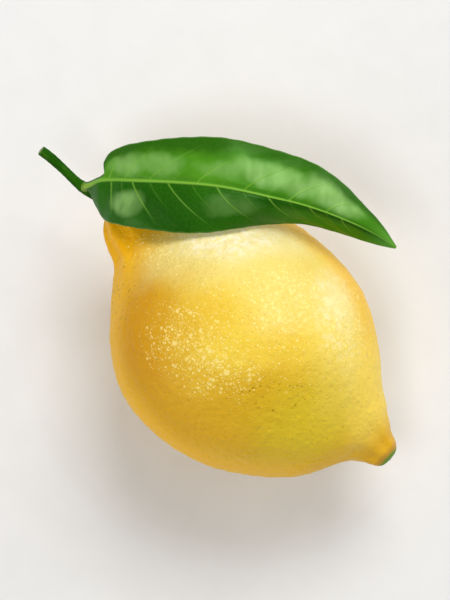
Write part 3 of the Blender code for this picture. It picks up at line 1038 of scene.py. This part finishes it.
def make_cushion(rib_line, foot):
    """The swollen base that joins the leaf's stalk to the stem."""
    ahead = unit(rib_line[CUSHION_AIM_POINT] - rib_line[0])
    stem_place = np.array(STEM_PATH[LEAF_NODE][:3])
    knots = [stem_place, 0.5 * (stem_place + foot), foot, foot + ahead * CUSHION_INTO_LEAF]
    shares = np.linspace(0.0, 1.0, CUSHION_RINGS)
    path = curve_through(knots, shares)
    swell = np.interp(shares, *zip(*CUSHION_SWELL))
    angle = np.linspace(0.0, math.tau, CUSHION_SIDES, endpoint=False)
    ridges = CUSHION_RIDGE_HEIGHT * np.cos(CUSHION_RIDGES * angle)[None, :]
    radius = CUSHION_RADIUS * swell[:, None] * (1.0 + ridges)
    rings, _ = tube(path, radius, angle, (1.0, 0.0, 0.0))
    points = rings.reshape(-1, 3)
    grid = np.arange(len(points)).reshape(CUSHION_RINGS, CUSHION_SIDES)
    after = np.roll(grid, -1, axis=1)
    faces = np.stack([grid[:-1], after[:-1], after[1:], grid[1:]], -1).reshape(-1, 4).tolist()
    faces += [grid[0, ::-1].tolist(), grid[-1].tolist()]
    cushion = new_object("petiole_base", points, faces)
    cushion.data.materials.append(cushion_material())
    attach(cushion, "root")
    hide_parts("leaf")


CUSHION_SHADES = [(0.3, (0.08, 0.2, 0.008)), (0.7, (0.18, 0.33, 0.025))]


def cushion_material():
    material, tree, shader, place = new_material("petiole_base")
    patch = noise(tree, place, scale=700.0)
    grained(tree, shader, patch, CUSHION_SHADES, distance=0.1 * MM, strength=0.5)
    set_inputs(tree, shader, {"Roughness": 0.5, "Specular IOR Level": 0.25})
    return material


def leaf_place(tree):
    """Share along the leaf, place across it from -1 to 1, and how much of a vein a point is."""
    attribute = tree.nodes.new("ShaderNodeAttribute")
    attribute.attribute_name = "leaf_place"
    return parts_of(tree, attribute.outputs["Vector"])


def leaf_net(tree, place):
    """The fine net of veinlets."""
    cells = tree.nodes.new("ShaderNodeTexVoronoi")
    cells.feature = "DISTANCE_TO_EDGE"
    set_inputs(tree, cells, {"Vector": place, "Scale": 750.0})
    return map_range(tree, cells.outputs["Distance"], 0.0, 0.1, 1.0, 0.0)


def leaf_highlight_patches(tree, share, across, wander):
    """Painted highlights: pale patches on both halves."""
    level = 0.0
    for (along, out), (long, wide), strength in LEAF_HIGHLIGHT_PATCHES:
        a = math_node(tree, "DIVIDE", math_node(tree, "SUBTRACT", share, along), long)
        b = math_node(tree, "SUBTRACT", math_node(tree, "ADD", across, wander), out)
        b = math_node(tree, "DIVIDE", b, wide)
        a, b = (times(tree, value, value) for value in (a, b))
        patch = map_range(tree, math_node(tree, "ADD", a, b), 0.0, 2.0, strength, 0.0)
        level = math_node(tree, "MAXIMUM", patch, level)
    return level


def leaf_streaks(tree, share, across):
    """Soft streaks that run from the midrib to the margin."""
    place = new_node(tree, "ShaderNodeCombineXYZ", {0: share, 1: times(tree, across, 0.06)})
    streak = noise(tree, place.outputs[0], scale=34.0, detail=1.0)
    return map_range(tree, streak, 0.3, 0.7, 0.7, 1.15)


# Leaf colours
OUTER_SHADES = [(0.3, (0.045, 0.20, 0.006)), (0.7, (0.078, 0.28, 0.012))]
# Painted shade: the inner half is far darker than the outer, as it faces away from the key light
SHADED_INNER_GREENS = [(0.3, (0.008, 0.075, 0.001)), (0.7, (0.018, 0.12, 0.002))]
UNDER_SHADES = [(0.3, (0.095, 0.2, 0.035)), (0.7, (0.14, 0.27, 0.055))]
# Painted shade: a darker band along the outer half's margin, where it slopes away from the light
MARGIN_SHADE_GREEN, MARGIN_SHADE_PLACES = (0.022, 0.115, 0.003), (0.5, 0.85)
INNER_TIP_GREEN, INNER_TIP_STRENGTH = (0.014, 0.23, 0.002), 0.75
INNER_TIP_SHARES, INNER_TIP_PLACES = (0.52, 0.78), (-0.1, -0.4)
# Painted highlight colour of the leaf
HIGHLIGHT_GREEN = (0.27, 0.50, 0.15)
NET_GREEN, NET_STRENGTH = (0.14, 0.34, 0.04), 0.06
VEIN_GREEN, VEIN_PALING = (0.20, 0.44, 0.045), (0.8, 0.97, 1.0, 0.35)
FOOT_GREEN, FOOT_STRENGTH, FOOT_FADE = (0.26, 0.42, 0.045), 0.8, (0.08, 0.0)
UNDER_NET_GREEN, UNDER_NET_STRENGTH = (0.2, 0.36, 0.09), 0.3
UNDER_VEIN_GREEN = (0.25, 0.42, 0.1)
LEAF_SHEEN = (0.5, 1.0, 0.35, 1.0)

# Bands of leaf colour: (place where it starts, where it is full, colour, strength)
MARGIN_BAND = (0.965, 0.995, (0.16, 0.33, 0.07), 0.5)
TIP_BAND = (0.88, 1.0, (0.15, 0.40, 0.055), 0.6)


def leaf_material():
    material, tree, shader, place = new_material("leaf_upper")
    share, across, vein = leaf_place(tree)
    cloud = noise(tree, place, scale=70.0)
    outer = ramp(tree, cloud, OUTER_SHADES)
    # Painted shade: the inner half gets the darker greens
    inner = ramp(tree, cloud, SHADED_INNER_GREENS)
    colour = mix(tree, map_range(tree, across, -0.06, 0.06), inner, outer)
    wander = noise(tree, place, scale=130.0, detail=2.0)
    wander = math_node(tree, "MULTIPLY_ADD", wander, 0.5)
    wander.node.inputs[2].default_value = -0.25
    # Painted shade along the outer margin
    margin_shade = map_range(tree, math_node(tree, "ADD", across, wander), *MARGIN_SHADE_PLACES)
    colour = mix(tree, margin_shade, colour, MARGIN_SHADE_GREEN)
    inner_tip = map_range(tree, share, *INNER_TIP_SHARES)
    inner_tip = times(tree, inner_tip, map_range(tree, across, *INNER_TIP_PLACES))
    colour = tint(tree, inner_tip, colour, INNER_TIP_GREEN, INNER_TIP_STRENGTH)
    # Painted highlights, broken up by soft streaks
    highlight = leaf_highlight_patches(tree, share, across, wander)
    highlight = times(tree, highlight, leaf_streaks(tree, share, across))
    colour = mix(tree, highlight, colour, HIGHLIGHT_GREEN)
    net = leaf_net(tree, place)
    colour = tint(tree, net, colour, NET_GREEN, NET_STRENGTH)
    colour = banded(tree, math_node(tree, "ABSOLUTE", across), colour, MARGIN_BAND)
    colour = tint(tree, vein, colour, VEIN_GREEN, map_range(tree, share, *VEIN_PALING))
    colour = banded(tree, share, colour, TIP_BAND)
    foot = map_range(tree, share, *FOOT_FADE)
    foot = times(tree, foot, map_range(tree, vein, 0.0, 0.5))
    colour = tint(tree, foot, colour, FOOT_GREEN, FOOT_STRENGTH)
    fine = noise(tree, place, scale=1800.0, detail=2.0)
    normal = bump(tree, net, distance=0.02 * MM, strength=0.4)
    normal = bump(tree, fine, distance=0.03 * MM, strength=0.35, normal=normal)
    sheen = {"Roughness": 0.33, "Specular IOR Level": 0.2, "Specular Tint": LEAF_SHEEN}
    set_inputs(tree, shader, {"Base Color": colour, "Normal": normal, **sheen})
    return material


def leaf_under_material():
    material, tree, shader, place = new_material("leaf_under")
    _, _, vein = leaf_place(tree)
    colour = ramp(tree, noise(tree, place, scale=70.0), UNDER_SHADES)
    net = leaf_net(tree, place)
    colour = tint(tree, net, colour, UNDER_NET_GREEN, UNDER_NET_STRENGTH)
    colour = mix(tree, vein, colour, UNDER_VEIN_GREEN)
    normal = bump(tree, net, distance=0.06 * MM, strength=0.7)
    set_inputs(tree, shader, {"Base Color": colour, "Normal": normal, "Roughness": 0.62})
    return material


# Stage


def right_and_up():
    """The picture's right and up directions, as seen by the camera above."""
    right = Vector((math.cos(VIEW_TURN), math.sin(VIEW_TURN), 0.0))
    return right, Vector((-right.y, right.x, 0.0))


def make_camera():
    data = bpy.data.cameras.new("camera")
    data.sensor_fit = "VERTICAL"
    data.sensor_height = SENSOR
    data.lens = SENSOR * (VIEW_HEIGHT - AXIS_HEIGHT) / VIEW_SPAN
    camera = bpy.data.objects.new("camera", data)
    bpy.context.scene.collection.objects.link(camera)
    turn = Matrix.Rotation(VIEW_TURN, 4, "Z")
    place = Vector((*VIEW_CENTRE, VIEW_HEIGHT)) * MM
    camera.matrix_world = Matrix.Translation(place) @ turn
    bpy.context.scene.camera = camera


def area_light(name, right, up, height, size, power, colour):
    """A soft light placed by the picture's right and up and its height, aimed at the fruit."""
    data = bpy.data.lights.new(name, "AREA")
    data.shape = "RECTANGLE"
    data.size, data.size_y = (value * MM for value in size)
    data.energy = power
    data.color = colour
    lamp = bpy.data.objects.new(name, data)
    bpy.context.scene.collection.objects.link(lamp)
    to_right, to_up = right_and_up()
    lamp.location = (to_right * right + to_up * up + Vector((0.0, 0.0, height))) * MM
    aim = Vector((0.0, 0.0, AXIS_HEIGHT * MM)) - lamp.location
    lamp.rotation_euler = aim.to_track_quat("-Z", "Y").to_euler()


def make_stage():
    corners = [(-1.0, -1.0, 0.0), (1.0, -1.0, 0.0), (1.0, 1.0, 0.0), (-1.0, 1.0, 0.0)]
    floor = new_object("floor", FLOOR_HALF * np.array(corners), [(0, 1, 2, 3)])
    material, tree, shader, place = new_material("floor_paper")
    grain = noise(tree, place, scale=120.0, detail=4.0)
    set_inputs(tree, shader, {"Base Color": ramp(tree, grain, FLOOR_SHADES), "Roughness": 0.8})
    floor.data.materials.append(material)
    world = bpy.data.worlds.new("studio")
    world.use_nodes = True
    sky = world.node_tree.nodes["Background"]
    set_inputs(world.node_tree, sky, {"Color": SKY_COLOUR, "Strength": SKY_STRENGTH})
    bpy.context.scene.world = world
    bpy.context.scene.view_settings.view_transform = "Standard"
    for light in LIGHTS:
        area_light(*light)


make_camera()
make_stage()
make_fruit()
make_calyx()
make_stem()
make_leaf()
